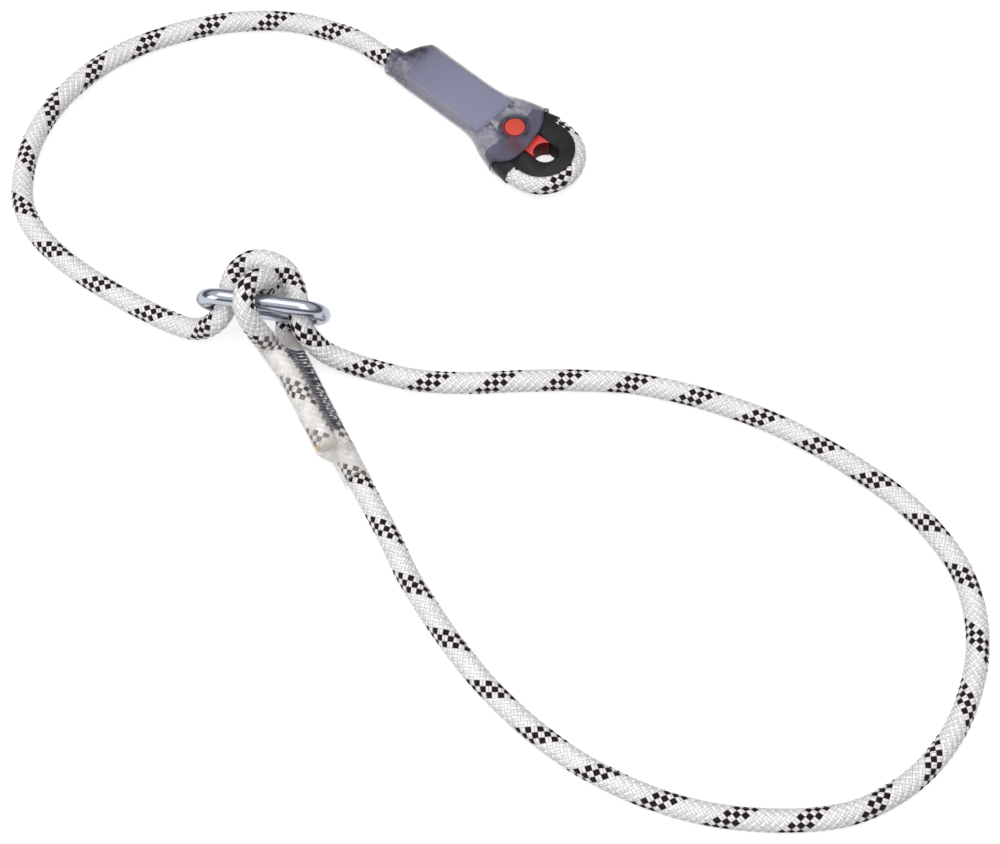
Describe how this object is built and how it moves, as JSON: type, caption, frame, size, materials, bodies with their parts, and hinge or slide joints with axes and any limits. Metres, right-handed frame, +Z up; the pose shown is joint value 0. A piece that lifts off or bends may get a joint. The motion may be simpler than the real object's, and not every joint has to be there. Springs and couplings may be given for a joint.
{
  "type": "adjustable rope lanyard",
  "caption": "Adjustable rope lanyard: covered thimble eye with a push button and sliding keeper, and a steel ring adjuster in the sewn end.",
  "frame": {"origin": "on the flat underside of the cover, midway between its mouth and the thimble's front", "axes": "+Z up from the surface that the lanyard lies on, +Y away from the picture's camera, +X to its right"},
  "size_m": [0.4762, 0.4627, 0.0534],
  "materials": {
    "rope": "braided polyamide sheath, white with a band of black yarns",
    "thimble_plastic": "moulded glass-filled nylon, matt black",
    "cover_smoke": "moulded smoke-tinted translucent PVC, soft gloss",
    "keeper_red": "moulded red acetal",
    "button_red": "moulded red acetal, satin",
    "ring_steel": "bent steel rod, bright zinc plated and polished",
    "sleeve_clear": "clear heat-shrink tube, milky where it is tight",
    "thread": "bonded polyester thread, dark slate",
    "label_film": "printed film, left blank",
    "spring_wire": "drawn spring wire"
  },
  "bodies": {
    "lanyard": {"thimble": "thimble_plastic", "protective_cover": "cover_smoke", "button_spring": "spring_wire", "marking_label": "label_film", "thimble_stitching": "thread", "rope_thimble_eye": "rope", "rope_standing": "rope", "rope_bight": "rope", "rope_loop": "rope", "rope_ring_eye": "rope", "shrink_sleeve": "sleeve_clear", "ring_eye_stitching": "thread"},
    "button": {"lock_button": "button_red"},
    "keeper": {"connector_keeper": "keeper_red"},
    "ring": {"adjuster_ring": "ring_steel"}
  },
  "joints": [
    {"name": "button_press", "type": "slide", "parent": "lanyard", "child": "button", "axis": [0, 0, -1], "range_m": [0, 0.002], "stiffness_N_per_m": 300, "springref_m": -0.001, "deforming": ["button_spring"]},
    {"name": "keeper_slide", "type": "slide", "parent": "lanyard", "child": "keeper", "axis": [-0.7431, 0.6691, 0], "range_m": [0, 0.003]},
    {"name": "ring_tilt", "type": "hinge", "parent": "lanyard", "child": "ring", "pos_m": [-0.0957, -0.1414, 0.0266], "axis": [0.9882, -0.153, 0], "range_deg": [-1, 4]}
  ]
}
